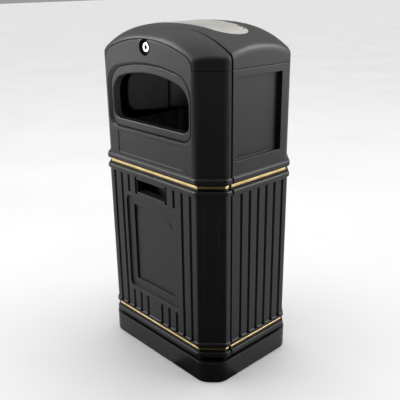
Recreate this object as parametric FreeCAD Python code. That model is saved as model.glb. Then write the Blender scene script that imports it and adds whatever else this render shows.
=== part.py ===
import FreeCAD, Part
import math
import os

# Free-standing litter bin with an ashtray plate on its domed hood. Millimetres, +Z up, +X right, -Y front.
#
# The origin is on the ground under the middle of the bin. The bin is a plinth, a rear shell that makes the
# sides, back and rear half of the hood, and a door that makes the whole front. A steel liner stands inside.

V = FreeCAD.Vector

# ---- Overall sizes -------------------------------------------------------------------------------
HEIGHT = 1300.0            # ground to the crown of the dome
HALF_WIDTH = 323.5         # centre to the side walls
HALF_DEPTH = 234.5         # centre to the front and back walls
BODY_LEG = 73.0            # 45 degree corner of the lower body, measured along a wall
BODY_CORNER_RADIUS = 14.0  # rounding of the lower body's upright edges and of the bands
HOOD_LEG = 78.0            # the same corner on the hood
HOOD_CORNER_RADIUS = 42.0  # rounding of the hood's upright edges

# ---- Levels --------------------------------------------------------------------------------------
PLINTH_TOP = 85.0
SHELL_BOTTOM = 107.0       # underside of both shells, on the plinth's neck
LOWER_STRIP_MIDDLE = 138.0
UPPER_STRIP_MIDDLE = 776.5
FLUTE_BOTTOM = 159.0
FLUTE_TOP = 741.0
CAP_LINE = HEIGHT - 132.5  # horizontal line that divides the hood's wall from its cap

# ---- Walls and gaps ------------------------------------------------------------------------------
HOOD_WALL = 6.0
BODY_WALL = 5.0            # behind the flutes
BAND_WALL = 6.0            # behind the strip channels
FLUTE_DEPTH = 6.0
SEAM_Y = 98.0 - HALF_DEPTH # plane where the door meets the rear shell
SEAM_GAP = 7.5
DOOR_LIFT = 1.5            # air between the door and the plinth's neck
JAMB_WIDTH = 28.5          # inward flange of both shells at the seam
JAMB_THICKNESS = 8.0
FIT = 0.5                  # air round a piece that is set in a recess
HOLE_CLEARANCE = 0.15      # air round a screw or stud that is fixed in place

# ---- Bands ---------------------------------------------------------------------------------------
UPPER_BEAD_PROUD = 7.5
LOWER_BEAD_PROUD = 5.0
UPPER_CHANNEL = 21.0       # height of the channel between two beads
LOWER_CHANNEL = 22.0
UPPER_CHANNEL_DEPTH = 10.0
LOWER_CHANNEL_DEPTH = 7.0
HOOD_BEAD_HEIGHT = 23.0
BODY_BEAD_HEIGHT = 20.0
BASE_BEAD_HEIGHT = 20.0
FOOT_BEAD_HEIGHT = 18.0
BEAD_ROUNDNESS = 0.95      # edge radius of a bead as a share of how far it stands proud
STRIP_THICKNESS = 3.0
UPPER_STRIP_HEIGHT = 11.0
LOWER_STRIP_HEIGHT = 7.0
STRIP_EDGE = 2.2           # rounding of the strips' outer edges
STRIP_END_GAP = 3.0        # each strip's end to the face of its shell at the seam

# ---- Flutes --------------------------------------------------------------------------------------
FLUTE_PITCH = 44.0
FLUTE_MOUTH = 14.0
FLUTE_FLOOR = 8.0
CORNER_LINE_OFFSET = 26.0  # thin lines on the corner faces
CORNER_LINE_WIDTH = 3.0
CORNER_LINE_DEPTH = 2.0
CORNER_LINE_FOOT = 6.0     # foot bead to the lower end of the thin lines

# ---- Dome ----------------------------------------------------------------------------------------
DOME_SIDE_DROP = 64.0      # how far the dome falls from its crown to the middle of a side
DOME_SIDE_POWER = 2.375
DOME_FRONT_DROP = 43.5     # and to the middle of the front
DOME_FRONT_POWER = 4.5
DOME_CORNER_DROP = 58.3    # further fall at the corners
DOME_EDGE_RADIUS = 28.0
DOME_MARGIN = 18.0         # how far the dome's surface runs past the walls before it is trimmed

# ---- Lines cut into the hood ---------------------------------------------------------------------
CAP_LINE_WIDTH = 2.6
CAP_LINE_DEPTH = 2.5
ARCH_HALF_WIDTH = 241.0
ARCH_CROWN = HEIGHT - 45.5
ARCH_SHOULDER = HEIGHT - 101.0
ARCH_SHOULDER_RADIUS = 52.0
ARCH_TAIL = 60.0           # the arch's legs start this far under the cap line and are trimmed there

# ---- Recessed panels -----------------------------------------------------------------------------
SIDE_PANEL = (-117.0, 113.0, 862.0, 1141.0)     # y from, y to, z from, z to
BACK_PANEL = (-180.0, 180.0, 862.0, 1141.0)     # x from, x to, z from, z to
PANEL_DEPTH = 18.0
LABEL_RECESS = (-183.0, 183.0, 824.0, 908.0)    # shallow panel under the aperture
LABEL_DEPTH = 1.6
FRAME_HALF_WIDTH = 153.0   # frame round the plaque
FRAME_BOTTOM = 260.0
FRAME_TOP = 658.0
FRAME_RADIUS = 25.0
FRAME_DEPTH = 6.5
PLAQUE_HALF_WIDTH = 114.0
PLAQUE_BOTTOM = 303.0
PLAQUE_TOP = 624.0
PLAQUE_DEPTH = 8.0         # below the frame's face
NOTICE_TOP = 598.0
NOTICE_RADIUS = 45.0
NOTICE_THICKNESS = 1.5

# ---- Finger pull ---------------------------------------------------------------------------------
PULL_HALF_WIDTH = 82.0
PULL_BOTTOM = 682.0
PULL_TOP = 733.0
PULL_DEPTH = 35.0
PULL_RISE = 9.0            # the pocket's floor climbs towards the back
SHORT_FLUTE_TOP = 247.0    # flutes below the plaque end here
SHORT_FLUTE_BOTTOM = 672.0 # flutes above the plaque start here

# ---- Aperture ------------------------------------------------------------------------------------
RECESS_HALF_WIDTH = HALF_WIDTH - 101.5
RECESS_BOTTOM = 924.0
RECESS_SHOULDER = 1128.0
RECESS_CROWN = 1167.0
RECESS_BOTTOM_RADIUS = 40.0
RECESS_TOP_RADIUS = 85.0
RECESS_DEPTH = 8.0
RECESS_FLARE_SIDE = 12.0   # how far the recess widens to its front edge, at its sides
RECESS_FLARE_TOP = 7.0
RECESS_FLARE_BOTTOM = 3.0
MOUTH_MARGIN_SIDE = 12.0   # face of the surround, at its sides
MOUTH_MARGIN_BOTTOM = 30.0
MOUTH_MARGIN_TOP = 31.0
MOUTH_BOTTOM_RADIUS = 34.0
MOUTH_TOP_RADIUS = 75.0
SURROUND_THICKNESS = 6.0
THROAT_LENGTH = 30.0
SURROUND_LIP = 0.75        # edge radius of its inner lip as a share of its thickness
SURROUND_SCREWS_LOW = (-130.0, 0.0, 130.0)
SURROUND_SCREWS_HIGH = (-60.0, 60.0)
SURROUND_SCREW_UP = 13.0   # lower screws above the recess's bottom edge
SURROUND_SCREW_DOWN = 16.0 # upper screws below its crown
SURROUND_SCREW_RADIUS = 1.8
SURROUND_SCREW_GRIP = 4.0
RECESS_WALL = 5.0

# ---- Lock ----------------------------------------------------------------------------------------
LOCK_Z = HEIGHT - 74.5
LOCK_RECESS_RADIUS = 28.5
LOCK_RECESS_DEPTH = 17.0
LOCK_HEAD_RADIUS = 16.5
LOCK_HEAD_EDGE = 2.0       # rounding of the head's rim
LOCK_HEAD_SUNK = 6.0
LOCK_BODY_RADIUS = 13.0
LOCK_BODY_REACH = 21.5     # floor of the lock's recess to the housing's inner end
LOCK_NUT_CORNER = 18.0     # centre to a corner of the hexagon
LOCK_NUT_HEIGHT = 5.0
BARREL_RADIUS = 8.5
BARREL_SUNK = 0.8          # barrel's face behind the head's
BARREL_TAIL = 7.0          # square end behind the housing
BARREL_TAIL_HALF = 4.0
KEY_SLOT = (3.5, 6.5, 8.0) # half width, half height and depth
RUNNING_CLEARANCE = 0.05
CAM_THICKNESS = 3.0
CAM_REACH = 28.0
CAM_HALF_WIDTH = 7.0
CAM_GAP = 1.5              # housing's end to the cam
CAM_SCREW_RADIUS = 1.5
CAM_SCREW_LENGTH = 6.0
CAM_SCREW_HEAD_RADIUS = 5.5
CAM_SCREW_HEAD_HEIGHT = 2.0
STRIKE_HALF_WIDTH = 20.0
STRIKE_THICKNESS = 3.0
STRIKE_LIP_RISE = 16.5     # lock's centre to the lip's lower edge
STRIKE_STRAP_RISE = 30.5   # and to the strap
STRIKE_LIP_GAP = 1.0       # closed cam to the lip
STRIKE_HEADROOM = 5.0      # tab's upper edge to the dome's inner face
STRIKE_SCREW_X = (-11.0, 11.0)
STRIKE_SCREW_RISE = 22.0   # strap to the screws
STRIKE_SCREW_START = 1.5   # blind end of each hole to the flange's front face

# ---- Small pan-head screws -----------------------------------------------------------------------
SCREW_RADIUS = 2.0
SCREW_HEAD_RADIUS = 4.0
SCREW_HEAD_HEIGHT = 2.5

# ---- Hinges on the left of the seam --------------------------------------------------------------
HINGE_X = -HALF_WIDTH - 8.5
HINGE_LEVELS = (265.0, 640.0, 1020.0)
HINGE_LENGTH = 84.0
KNUCKLE_RADIUS = 4.5
KNUCKLE_GAP = 0.5
HINGE_PIN_RADIUS = 2.5
LEAF_THICKNESS = 1.6
LEAF_INNER_X = 26.5 - HALF_WIDTH
LEAF_SCREW_X = 15.5 - HALF_WIDTH
LEAF_SCREW_SPACING = 56.0
HINGE_PIN_CAP = 2.0
BUFFER_RADIUS = 6.0

# ---- Ashtray -------------------------------------------------------------------------------------
PLATE_HALF_LENGTH = 243.0
PLATE_FRONT = -99.0
PLATE_BACK = 88.0
PLATE_SHOULDER_X = 186.0
PLATE_SHOULDER_DROP = 20.0  # how far the long edges curve in at the shoulders
PLATE_THICKNESS = 2.0
PLATE_SUNK = 0.8
PLATE_LEDGE = 14.0
SLOT_INSET = 3.5
SLOT_WIDTH = 9.0
SLOT_HALF_LENGTH = 196.0
TAB_PITCH = 70.0
TAB_WIDTH = 6.0
PLATE_BED = 0.3             # bedding under the plate
PLATE_SCREW = (190.0, 47.0)
PLATE_LUG_RADIUS = 10.0
PLATE_SCREW_RADIUS = 2.0
PLATE_SCREW_HEAD_RADIUS = 3.6
PLATE_SCREW_HEAD_HEIGHT = 1.6
PLATE_SCREW_LENGTH = 10.0
PLATE_SCREW_HOLE = 20.0     # depth of its hole under the plate
PLATE_SCREW_HEAD_RISE = 0.9 # underside of the flat head above the sloping plate
CONTAINER_HALF_WIDTH = 182.0
CONTAINER_FRONT = 10.0
CONTAINER_BACK = 150.0
CONTAINER_TOP = HEIGHT - 60.0
CONTAINER_BOTTOM = CONTAINER_TOP - 80.0
CONTAINER_RADIUS = 8.0
CONTAINER_FLANGE_SHORT = 6.0 # each flange's end to the box's end
CONTAINER_SHEET = 1.5
CONTAINER_FLANGE = 11.0
RAIL_SHEET = 2.0
RAIL_FRONT = -110.0
RAIL_BACK = 152.0
RAIL_TOP = CONTAINER_TOP + 12.0
RAIL_SIDE_GAP = 1.0         # container's flange to the rail's web
RAIL_SCREW_LENGTH = 10.0
RAIL_BOSS_RADIUS = 9.0
RAIL_BOSSES = (-90.0, 120.0)

# ---- Liner ---------------------------------------------------------------------------------------
LINER_HALF_WIDTH = HALF_WIDTH - 61.5
LINER_HALF_DEPTH = HALF_DEPTH - 72.5
LINER_CORNER = 30.0
LINER_TOP = 918.0
LINER_SHEET = 1.5
RIM_WIDTH = 8.0
RIM_HEIGHT = 8.0
RIM_RADIUS = 2.5
HANDLE_WIRE = 4.0          # radius
HANDLE_PIVOT_IN = 12.0     # pivot to the liner's inner face
HANDLE_PIVOT_DOWN = 14.0   # pivot to the liner's rim
HANDLE_REACH = 62.0
HANDLE_HALF_GRIP = 45.0
HANDLE_BEND = 10.0
EAR_SHEET = 3.0
EAR_GAP = 1.0
EAR_WIDTH = 14.0           # pivot to the ear's free edge
BRACKET_DROP = 12.0        # pivot to the bracket's lower edge
BRACKET_RISE = 10.0        # and to its upper edge
BRACKET_WING = 12.0        # back plate past each ear
STOP_REACH = 7.0           # pivot to the near end of the stop
ARM_END = 2.0              # arm past its ear
RIVET_RADIUS = 2.0
RIVET_HEAD_RADIUS = 3.5
RIVET_HEAD_HEIGHT = 1.2
STOP_GAP = 0.3

# ---- Plinth, floor and fixings -------------------------------------------------------------------
PLINTH_LEG = 72.0          # 45 degree corner of the plinth's neck, its well and the slab in it
PLINTH_FOOT_RADIUS = 4.0
PLINTH_FOOT_LEG = 56.0      # 45 degree corner of the plinth's foot
PLINTH_CORNER_RADIUS = 60.0 # rounding at both ends of it
NECK_INSET = 20.0
PLINTH_FLOOR = 12.0
PLINTH_WELL_INSET = 53.0
GROUND_HOLE_RADIUS = 7.0
GROUND_HOLES = (200.0, 120.0)
BALLAST_HEIGHT = 62.0
BALLAST_GAP = 6.0
BALLAST_HOLE_RADIUS = 22.0
FLOOR_SHEET = 3.0
FLOOR_INSET = 22.0
SHELL_FLANGE = 8.0
SHELL_FLANGE_WIDTH = 52.0
BOLT_RADIUS = 5.0
BOLT_HEAD = 8.5            # half across the flats
BOLT_HEAD_HEIGHT = 6.5
WASHER_RADIUS = 12.0
WASHER_THICKNESS = 2.0
BOLT_LENGTH_IN_PLINTH = 20.0
BOLT_HOLE_IN_PLINTH = 22.0
BODY_BOLT_X = (-150.0, 150.0) # bolts along the back wall
BODY_BOLT_Y = 20.0         # bolts at the side walls
BODY_BOLT_IN = 14.0        # bolt to the flange's inner edge
FLOOR_SEAT_GAP = 1.0       # air round the floor plate's edge
DOOR_FOOT_GAP = 2.0        # air over the shell's foot flange, inside the door
BLOCK_SIZE = (36.0, 12.0, 18.0)
BLOCK_GAP = 1.0            # liner to block

SEAM_REAR = SEAM_Y + SEAM_GAP / 2     # front plane of the rear shell
SEAM_DOOR = SEAM_Y - SEAM_GAP / 2     # rear plane of the door
FLOOR_TOP = SHELL_BOTTOM + FLOOR_SHEET
FLANGE_TOP = FLOOR_TOP + SHELL_FLANGE
FAR = 900.0                           # larger than the bin, for half-space cuts


# ---- Small shapes --------------------------------------------------------------------------------
def box(x0, x1, y0, y1, z0, z1):
    return Part.makeBox(x1 - x0, y1 - y0, z1 - z0, V(x0, y0, z0))


def rod(x, y, z, radius, length, direction):
    return Part.makeCylinder(radius, length, V(x, y, z), direction)


def polygon(points):
    return Part.Face(Part.makePolygon(points + points[:1]))


def corner_outline(half_x, half_y, leg, z):
    """Rectangle with 45 degree corners, as a face at height z."""
    points = []
    for sx, sy in ((1, -1), (1, 1), (-1, 1), (-1, -1)):
        long_side = V(sx * half_x, sy * (half_y - leg), z)
        short_side = V(sx * (half_x - leg), sy * half_y, z)
        points += [short_side, long_side] if sx * sy < 0 else [long_side, short_side]
    return polygon(points)


def prism(inset, leg, z0, z1):
    """Upright solid of the bin's outline, moved in by inset all round."""
    inset_leg = leg - inset * (2 - math.sqrt(2))
    face = corner_outline(HALF_WIDTH - inset, HALF_DEPTH - inset, inset_leg, z0)
    return face.extrude(V(0, 0, z1 - z0))


def upright_edges(shape):
    found = []
    for edge in shape.Edges:
        low, high = edge.Vertexes[0].Point, edge.Vertexes[-1].Point
        if abs(low.x - high.x) + abs(low.y - high.y) < 0.01:
            found.append(edge)
    return found


def level_edges(shape, z):
    return [e for e in shape.Edges if all(abs(v.Z - z) < 0.01 for v in e.Vertexes)]


def rounded_prism(inset, leg, z0, z1):
    """The same solid with rounded upright edges, concentric with the lower body's."""
    solid = prism(inset, leg, z0, z1)
    return solid.makeFillet(max(BODY_CORNER_RADIUS - inset, 1.0), upright_edges(solid))


def bead(proud, leg, z0, z1):
    """Rounded ring that stands proud of the wall."""
    slab = rounded_prism(-proud, leg, z0, z1)
    edges = level_edges(slab, z0) + level_edges(slab, z1)
    return slab.makeFillet(proud * BEAD_ROUNDNESS, edges)


def both_sides(make):
    """The same solid on the right and mirrored to the left."""
    right = make()
    return [right, right.mirror(V(0, 0, 0), V(1, 0, 0))]


def arched_block(half_width, bottom, shoulder, crown, bottom_radius, top_radius, y0, y1):
    """Block with a flat bottom, upright sides and an arched top, all its corners rounded."""
    low_left, low_right = V(-half_width, y0, bottom), V(half_width, y0, bottom)
    top_left, top_right = V(-half_width, y0, shoulder), V(half_width, y0, shoulder)
    edges = [
        Part.makeLine(low_left, low_right),
        Part.makeLine(low_right, top_right),
        Part.Arc(top_right, V(0, y0, crown), top_left).toShape(),
        Part.makeLine(top_left, low_left),
    ]
    block = Part.Face(Part.Wire(edges)).extrude(V(0, y1 - y0, 0))
    low, high = [], []
    for edge in block.Edges:
        a, b = edge.Vertexes[0].Point, edge.Vertexes[-1].Point
        if abs(a.y - b.y) > 0.01 and abs(a.x - b.x) < 0.01:
            (low if a.z < (bottom + shoulder) / 2 else high).append(edge)
    if bottom_radius:
        block = block.makeFillet(bottom_radius, low)
        high = [
            e for e in block.Edges
            if abs(e.Vertexes[0].Y - e.Vertexes[-1].Y) > 0.01
            and abs(e.Vertexes[0].Z - shoulder) < 0.5
        ]
    return block.makeFillet(top_radius, high)


def countersunk_screw(x, y, z, direction, head_radius, head_depth, radius, length):
    """Screw whose flat head lies in the plane through (x, y, z) and whose shank runs along direction."""
    head = Part.makeCone(head_radius, radius, head_depth, V(x, y, z), direction)
    return head.fuse(rod(x, y, z, radius, length, direction)).removeSplitter()


def hex_bolt(x, y, z, length):
    """Bolt that points down, with the underside of its hexagon head at z."""
    corner = BOLT_HEAD / math.cos(math.pi / 6)
    points = []
    for step in range(6):
        angle = math.pi / 3 * step
        points.append(V(x + corner * math.cos(angle), y + corner * math.sin(angle), z))
    head = polygon(points).extrude(V(0, 0, BOLT_HEAD_HEIGHT))
    return head.fuse(rod(x, y, z, BOLT_RADIUS, length, V(0, 0, -1)))


# ---- Dome ----------------------------------------------------------------------------------------
def dome_height(x, y):
    """Height of the dome's outer surface over (x, y)."""
    across, along = abs(x) / HALF_WIDTH, abs(y) / HALF_DEPTH
    return (
        HEIGHT
        - DOME_SIDE_DROP * across ** DOME_SIDE_POWER
        - DOME_FRONT_DROP * along ** DOME_FRONT_POWER
        - DOME_CORNER_DROP * along ** 2 * across ** 3
    )


def below_dome(drop):
    """Everything between the dome, lowered by drop, and a level well below it."""
    columns, rows = 25, 21
    reach_x, reach_y = HALF_WIDTH + DOME_MARGIN, HALF_DEPTH + DOME_MARGIN
    grid = []
    for i in range(columns):
        x = reach_x * (2 * i / (columns - 1) - 1)
        line = []
        for j in range(rows):
            y = reach_y * (2 * j / (rows - 1) - 1)
            line.append(V(x, y, dome_height(x, y) - drop))
        grid.append(line)
    surface = Part.BSplineSurface()
    surface.interpolate(grid)
    return surface.toShape().extrude(V(0, 0, -HEIGHT))


# ---- Levels of the bands -------------------------------------------------------------------------
BASE_BEAD_TOP = LOWER_STRIP_MIDDLE - LOWER_CHANNEL / 2
FOOT_BEAD_BOTTOM = LOWER_STRIP_MIDDLE + LOWER_CHANNEL / 2
BODY_BEAD_TOP = UPPER_STRIP_MIDDLE - UPPER_CHANNEL / 2
HOOD_BEAD_BOTTOM = UPPER_STRIP_MIDDLE + UPPER_CHANNEL / 2
HOOD_BOTTOM = HOOD_BEAD_BOTTOM + HOOD_BEAD_HEIGHT / 2
VOID_STEP_LOW = FOOT_BEAD_BOTTOM + FOOT_BEAD_HEIGHT
VOID_STEP_HIGH = BODY_BEAD_TOP - BODY_BEAD_HEIGHT
VOID_STEP_HOOD = HOOD_BEAD_BOTTOM + HOOD_BEAD_HEIGHT


def flute(centre, z0, z1):
    """Upright flute that cuts into the front wall, centred at x = centre."""
    y_floor = -HALF_DEPTH + FLUTE_DEPTH
    y_out = -HALF_DEPTH - UPPER_BEAD_PROUD
    spread = (FLUTE_MOUTH - FLUTE_FLOOR) / 2 / FLUTE_DEPTH
    wide = FLUTE_FLOOR / 2 + spread * (y_floor - y_out)
    narrow = FLUTE_FLOOR / 2
    points = [
        V(centre - wide, y_out, z0),
        V(centre + wide, y_out, z0),
        V(centre + narrow, y_floor, z0),
        V(centre - narrow, y_floor, z0),
    ]
    return polygon(points).extrude(V(0, 0, z1 - z0))


def side_flute(centre, z0, z1):
    """The same flute in the right-hand wall, centred at y = centre."""
    turned = flute(0, z0, z1)
    turned.rotate(V(0, 0, 0), V(0, 0, 1), 90)
    turned.translate(V(HALF_WIDTH - HALF_DEPTH, centre, 0))
    return turned


def corner_lines():
    """Two thin upright lines in each of the four corner faces."""
    cuts = []
    middle = V(HALF_WIDTH - BODY_LEG / 2, HALF_DEPTH - BODY_LEG / 2, 0)
    for side in (-1, 1):
        line = box(
            -CORNER_LINE_DEPTH, CORNER_LINE_DEPTH,
            side * CORNER_LINE_OFFSET - CORNER_LINE_WIDTH / 2,
            side * CORNER_LINE_OFFSET + CORNER_LINE_WIDTH / 2,
            VOID_STEP_LOW + CORNER_LINE_FOOT, FLUTE_TOP,
        )
        line.rotate(V(0, 0, 0), V(0, 0, 1), 45)
        line.translate(middle)
        mirrored = line.mirror(V(0, 0, 0), V(1, 0, 0))
        cuts += [line, mirrored]
        cuts += [c.mirror(V(0, 0, 0), V(0, 1, 0)) for c in (line, mirrored)]
    return cuts


def outer_form():
    """Door and rear shell as one solid block, before it is hollowed and parted."""
    hood = prism(0, HOOD_LEG, HOOD_BOTTOM, HEIGHT + DOME_MARGIN)
    hood = hood.makeFillet(HOOD_CORNER_RADIUS, upright_edges(hood))
    hood = hood.common(below_dome(0))
    rim = [e for e in hood.Edges if min(v.Z for v in e.Vertexes) > CAP_LINE and e not in upright_edges(hood)]
    hood = hood.makeFillet(DOME_EDGE_RADIUS, rim)
    stack = [
        bead(LOWER_BEAD_PROUD, BODY_LEG, SHELL_BOTTOM, BASE_BEAD_TOP),
        rounded_prism(LOWER_CHANNEL_DEPTH, BODY_LEG, BASE_BEAD_TOP - 1, FOOT_BEAD_BOTTOM + 1),
        bead(LOWER_BEAD_PROUD, BODY_LEG, FOOT_BEAD_BOTTOM, FOOT_BEAD_BOTTOM + FOOT_BEAD_HEIGHT),
        rounded_prism(0, BODY_LEG, FOOT_BEAD_BOTTOM + FOOT_BEAD_HEIGHT / 2,
                      BODY_BEAD_TOP - BODY_BEAD_HEIGHT / 2),
        bead(UPPER_BEAD_PROUD, BODY_LEG, BODY_BEAD_TOP - BODY_BEAD_HEIGHT, BODY_BEAD_TOP),
        rounded_prism(UPPER_CHANNEL_DEPTH, BODY_LEG, BODY_BEAD_TOP - 1, HOOD_BEAD_BOTTOM + 1),
        bead(UPPER_BEAD_PROUD, BODY_LEG, HOOD_BEAD_BOTTOM, HOOD_BEAD_BOTTOM + HOOD_BEAD_HEIGHT),
    ]
    return hood.multiFuse(stack)


def inner_void(extra, drop, z0):
    """Hollow inside both shells. extra narrows it, for the flanges at the seam."""
    lower = BODY_WALL + FLUTE_DEPTH
    low_band = LOWER_CHANNEL_DEPTH + BAND_WALL
    high_band = UPPER_CHANNEL_DEPTH + BAND_WALL
    parts = [
        prism(max(low_band, extra), BODY_LEG, z0, VOID_STEP_LOW),
        prism(max(lower, extra), BODY_LEG, VOID_STEP_LOW, VOID_STEP_HIGH),
        prism(max(high_band, extra), BODY_LEG, VOID_STEP_HIGH, VOID_STEP_HOOD),
    ]
    hood = prism(max(HOOD_WALL, extra), HOOD_LEG, VOID_STEP_HOOD, HEIGHT).common(below_dome(drop))
    return hood.multiFuse(parts)


# ---- Cuts in the shells --------------------------------------------------------------------------
def cap_line_cut():
    """Fine line round the sides, back and corners of the hood, and the arch over the front wall."""
    z0, z1 = CAP_LINE - CAP_LINE_WIDTH / 2, CAP_LINE + CAP_LINE_WIDTH / 2
    ring = prism(-DOME_MARGIN, HOOD_LEG, z0, z1)
    core = prism(CAP_LINE_DEPTH, HOOD_LEG, z0 - 1, z1 + 1)
    core = core.makeFillet(HOOD_CORNER_RADIUS, upright_edges(core))
    ring = ring.cut(core)
    under_arch = box(-ARCH_HALF_WIDTH, ARCH_HALF_WIDTH, -FAR, -HALF_DEPTH + CAP_LINE_DEPTH + 1, 0, FAR * 2)
    ring = ring.cut(under_arch)
    front = (-HALF_DEPTH - 1, -HALF_DEPTH + CAP_LINE_DEPTH * 2)
    outer = arched_block(
        ARCH_HALF_WIDTH, z0 - ARCH_TAIL, ARCH_SHOULDER, ARCH_CROWN, 0, ARCH_SHOULDER_RADIUS, *front
    )
    inner = arched_block(
        ARCH_HALF_WIDTH - CAP_LINE_WIDTH, z0 - ARCH_TAIL, ARCH_SHOULDER - CAP_LINE_WIDTH,
        ARCH_CROWN - CAP_LINE_WIDTH, 0, ARCH_SHOULDER_RADIUS - CAP_LINE_WIDTH, *front
    )
    arch = outer.cut(inner).common(box(-FAR, FAR, -FAR, 0, z0, FAR * 2))
    return [ring, arch]


def body_flutes():
    """Flutes that run the whole height of the lower body, on all four walls."""
    cuts = []
    side_count = 3
    for step in range(-side_count + 1, side_count + 1):
        right = side_flute(step * FLUTE_PITCH, FLUTE_BOTTOM, FLUTE_TOP)
        cuts += [right, right.mirror(V(0, 0, 0), V(1, 0, 0))]
    for step in range(-5, 6):
        back = flute(step * FLUTE_PITCH, FLUTE_BOTTOM, FLUTE_TOP)
        cuts.append(back.mirror(V(0, 0, 0), V(0, 1, 0)))
    for step in (4, 5):
        for side in (-1, 1):
            cuts.append(flute(side * step * FLUTE_PITCH, FLUTE_BOTTOM, FLUTE_TOP))
    return cuts


def short_flutes():
    """Flutes over and under the plaque on the door."""
    cuts = []
    for side in (-1, 1):
        for step in (2, 3):
            cuts.append(flute(side * step * FLUTE_PITCH, SHORT_FLUTE_BOTTOM, FLUTE_TOP))
        for step in (1, 2, 3):
            cuts.append(flute(side * step * FLUTE_PITCH, FLUTE_BOTTOM, SHORT_FLUTE_TOP))
    return cuts


def side_panel(grow):
    """Recess in the right-hand wall of the hood, or with grow the block of wall that surrounds it."""
    y0, y1, z0, z1 = SIDE_PANEL
    depth = PANEL_DEPTH + grow
    return box(HALF_WIDTH - depth, HALF_WIDTH + 1, y0 - grow, y1 + grow, z0 - grow, z1 + grow)


def back_panel(grow):
    x0, x1, z0, z1 = BACK_PANEL
    depth = PANEL_DEPTH + grow
    return box(x0 - grow, x1 + grow, HALF_DEPTH - depth, HALF_DEPTH + 1, z0 - grow, z1 + grow)


def mouth_block(grow, y0, y1):
    """Block of the aperture's recess, grown or shrunk all round."""
    return arched_block(
        RECESS_HALF_WIDTH + grow, RECESS_BOTTOM - grow, RECESS_SHOULDER + grow, RECESS_CROWN + grow,
        RECESS_BOTTOM_RADIUS + grow, RECESS_TOP_RADIUS + grow, y0, y1,
    )


def recess_flare():
    """Ruled funnel that widens the recess towards the front face."""
    back = arched_block(
        RECESS_HALF_WIDTH, RECESS_BOTTOM, RECESS_SHOULDER, RECESS_CROWN,
        RECESS_BOTTOM_RADIUS, RECESS_TOP_RADIUS, SURROUND_FRONT, SURROUND_FRONT + 1,
    )
    front = arched_block(
        RECESS_HALF_WIDTH + RECESS_FLARE_SIDE, RECESS_BOTTOM - RECESS_FLARE_BOTTOM,
        RECESS_SHOULDER + RECESS_FLARE_TOP, RECESS_CROWN + RECESS_FLARE_TOP,
        RECESS_BOTTOM_RADIUS, RECESS_TOP_RADIUS, -HALF_DEPTH, -HALF_DEPTH + 1,
    )
    wires = []
    for block, y in ((back, SURROUND_FRONT), (front, -HALF_DEPTH)):
        face = [f for f in block.Faces if abs(f.CenterOfMass.y - y) < 0.01][0]
        wires.append(face.OuterWire)
    return Part.makeLoft(wires, True, True)


def opening_block(grow, y0, y1):
    """Block of the clear opening, grown all round."""
    margin = MOUTH_MARGIN_SIDE
    return arched_block(
        RECESS_HALF_WIDTH - margin + grow,
        RECESS_BOTTOM + MOUTH_MARGIN_BOTTOM - grow,
        RECESS_SHOULDER - MOUTH_MARGIN_TOP + grow,
        RECESS_CROWN - MOUTH_MARGIN_TOP + grow,
        MOUTH_BOTTOM_RADIUS + grow,
        MOUTH_TOP_RADIUS + grow,
        y0, y1,
    )


SURROUND_FRONT = -HALF_DEPTH + RECESS_DEPTH
SURROUND_BACK = SURROUND_FRONT + SURROUND_THICKNESS
RECESS_FLOOR_BACK = SURROUND_BACK + RECESS_WALL
LOCK_FLOOR = -HALF_DEPTH + LOCK_RECESS_DEPTH
LOCK_FLOOR_BACK = LOCK_FLOOR + RECESS_WALL
CAM_FRONT = LOCK_FLOOR + LOCK_BODY_REACH + CAM_GAP
BARREL_END = LOCK_FLOOR + LOCK_BODY_REACH + BARREL_TAIL


def pull_block(grow):
    """Finger pull: a pocket whose floor climbs towards the back."""
    y_back = -HALF_DEPTH + PULL_DEPTH + grow
    points = [
        V(-PULL_HALF_WIDTH - grow, -HALF_DEPTH - 1, PULL_BOTTOM - grow),
        V(-PULL_HALF_WIDTH - grow, y_back, PULL_BOTTOM + PULL_RISE - grow),
        V(-PULL_HALF_WIDTH - grow, y_back, PULL_TOP + grow),
        V(-PULL_HALF_WIDTH - grow, -HALF_DEPTH - 1, PULL_TOP + grow),
    ]
    return polygon(points).extrude(V(2 * (PULL_HALF_WIDTH + grow), 0, 0))


def frame_block(grow):
    """Framed field round the plaque."""
    block = box(
        -FRAME_HALF_WIDTH, FRAME_HALF_WIDTH, -HALF_DEPTH - 1, -HALF_DEPTH + FRAME_DEPTH + grow,
        FRAME_BOTTOM, FRAME_TOP,
    )
    edges = [e for e in block.Edges if abs(e.Vertexes[0].Y - e.Vertexes[-1].Y) > 0.01]
    return block.makeFillet(FRAME_RADIUS, edges)


def plaque_block(grow):
    """Plaque recess inside the frame, or with grow the block of wall that surrounds it."""
    half = PLAQUE_HALF_WIDTH + grow
    back = -HALF_DEPTH + FRAME_DEPTH + PLAQUE_DEPTH + grow
    return box(-half, half, -HALF_DEPTH - 1, back, PLAQUE_BOTTOM - grow, PLAQUE_TOP + grow)


def plate_outline(inset, z0, z1):
    """Upright block of the ashtray's outline: two long arcs and two round ends."""
    end_x = PLATE_HALF_LENGTH - inset
    shoulder_x = PLATE_SHOULDER_X - inset * 0.6
    front, back = PLATE_FRONT + inset, PLATE_BACK - inset
    middle = (front + back) / 2
    low, high = front + PLATE_SHOULDER_DROP, back - PLATE_SHOULDER_DROP
    edges = [
        Part.Arc(V(-shoulder_x, low, z0), V(0, front, z0), V(shoulder_x, low, z0)).toShape(),
        Part.Arc(V(shoulder_x, low, z0), V(end_x, middle, z0), V(shoulder_x, high, z0)).toShape(),
        Part.Arc(V(shoulder_x, high, z0), V(0, back, z0), V(-shoulder_x, high, z0)).toShape(),
        Part.Arc(V(-shoulder_x, high, z0), V(-end_x, middle, z0), V(-shoulder_x, low, z0)).toShape(),
    ]
    return Part.Face(Part.Wire(edges)).extrude(V(0, 0, z1 - z0))


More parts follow.
